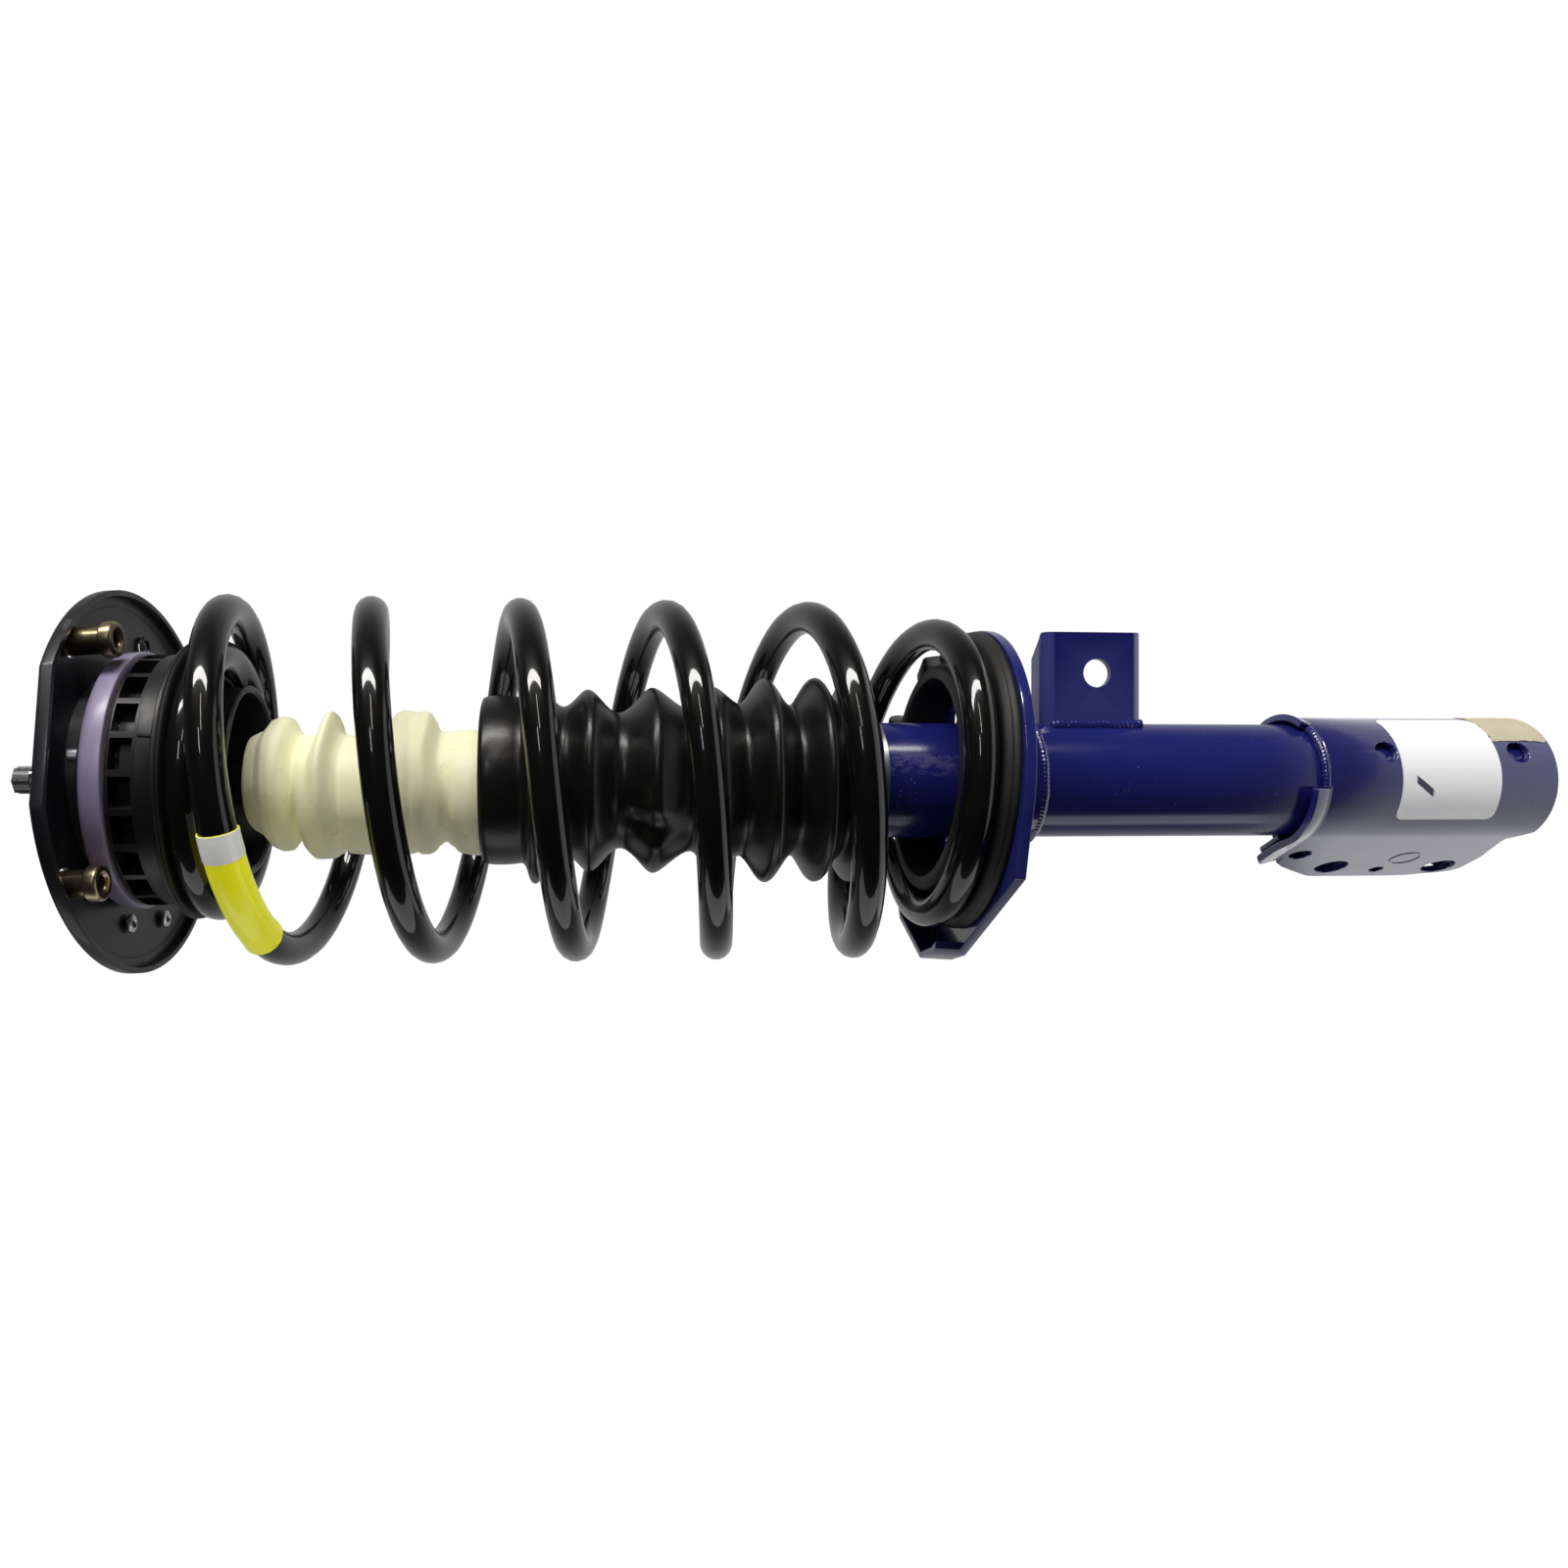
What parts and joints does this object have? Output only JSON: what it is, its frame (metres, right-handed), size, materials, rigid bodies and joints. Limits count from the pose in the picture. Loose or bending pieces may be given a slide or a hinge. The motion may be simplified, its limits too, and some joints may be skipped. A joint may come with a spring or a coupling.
{
  "type": "suspension strut",
  "caption": "Loaded front suspension strut: top mount, steering bearing, coil spring, bump stop, boot and blue damper tube with link and knuckle brackets.",
  "frame": {"origin": "on the rod's axis, in the plane of the top mount's upper face that bears on the tower", "axes": "+Z along the strut towards the tower; +Y is the way the knuckle clevis opens; +X along the knuckle bolts"},
  "size_m": [0.1661, 0.1726, 0.665],
  "materials": {
    "black_plate": "satin black coat on pressed steel",
    "yellow_zinc": "yellow passivated zinc",
    "bright_zinc": "bright zinc",
    "rubber": "matte black rubber",
    "steel": "bare steel",
    "chrome_rod": "polished chrome",
    "black_plastic": "moulded black plastic",
    "sintered_steel": "sintered steel",
    "lavender_plastic": "pale lavender-grey moulded plastic",
    "ball_steel": "polished balls",
    "cage_plastic": "natural plastic",
    "cream_urethane": "cream micro-cellular urethane",
    "boot_rubber": "satin black rubber",
    "spring_black": "gloss black powder coat",
    "yellow_tag": "yellow film",
    "blue_paint": "gloss deep blue paint",
    "label_white": "white paper-film label, left bare",
    "beige_tape": "creped masking tape"
  },
  "bodies": {
    "top_mount": {"mount_plate": "black_plate", "mount_dome": "black_plate", "tower_nuts": "yellow_zinc", "plate_rivets": "bright_zinc", "mount_rubber": "rubber", "mount_core": "steel", "rebound_washer": "bright_zinc", "rod_nut": "bright_zinc", "piston_rod": "chrome_rod", "rebound_ring": "black_plastic", "piston": "sintered_steel", "piston_band": "black_plastic", "piston_nut": "steel", "bearing_top_ring": "lavender_plastic", "bearing_balls": "ball_steel", "bearing_cage": "cage_plastic", "bump_stop": "cream_urethane", "dust_boot": "boot_rubber"},
    "spring_seat": {"bearing_seat": "black_plastic", "seat_cup": "black_plate", "upper_isolator": "rubber", "coil_spring": "spring_black", "spring_tag": "yellow_tag"},
    "strut_body": {"reserve_tube": "blue_paint", "pressure_tube": "steel", "rod_guide": "sintered_steel", "rod_seal": "rubber", "gland_cap": "steel", "base_valve": "sintered_steel", "base_cup": "blue_paint", "lower_seat": "blue_paint", "lower_isolator": "rubber", "link_bracket": "blue_paint", "knuckle_bracket": "blue_paint", "knuckle_brace": "blue_paint", "weld_beads": "blue_paint", "blank_label": "label_white", "tape_patch": "beige_tape"}
  },
  "joints": [
    {"name": "steering", "type": "hinge", "parent": "top_mount", "child": "spring_seat", "pos_m": [0, 0, 0], "axis": [0, 0, 1], "range_deg": [-40, 40]},
    {"name": "compression", "type": "slide", "parent": "spring_seat", "child": "strut_body", "axis": [0, 0, 1], "range_m": [0, 0.148], "stiffness_N_per_m": 25000, "springref_m": -0.04, "deforming": ["coil_spring", "spring_tag", "dust_boot"]}
  ]
}
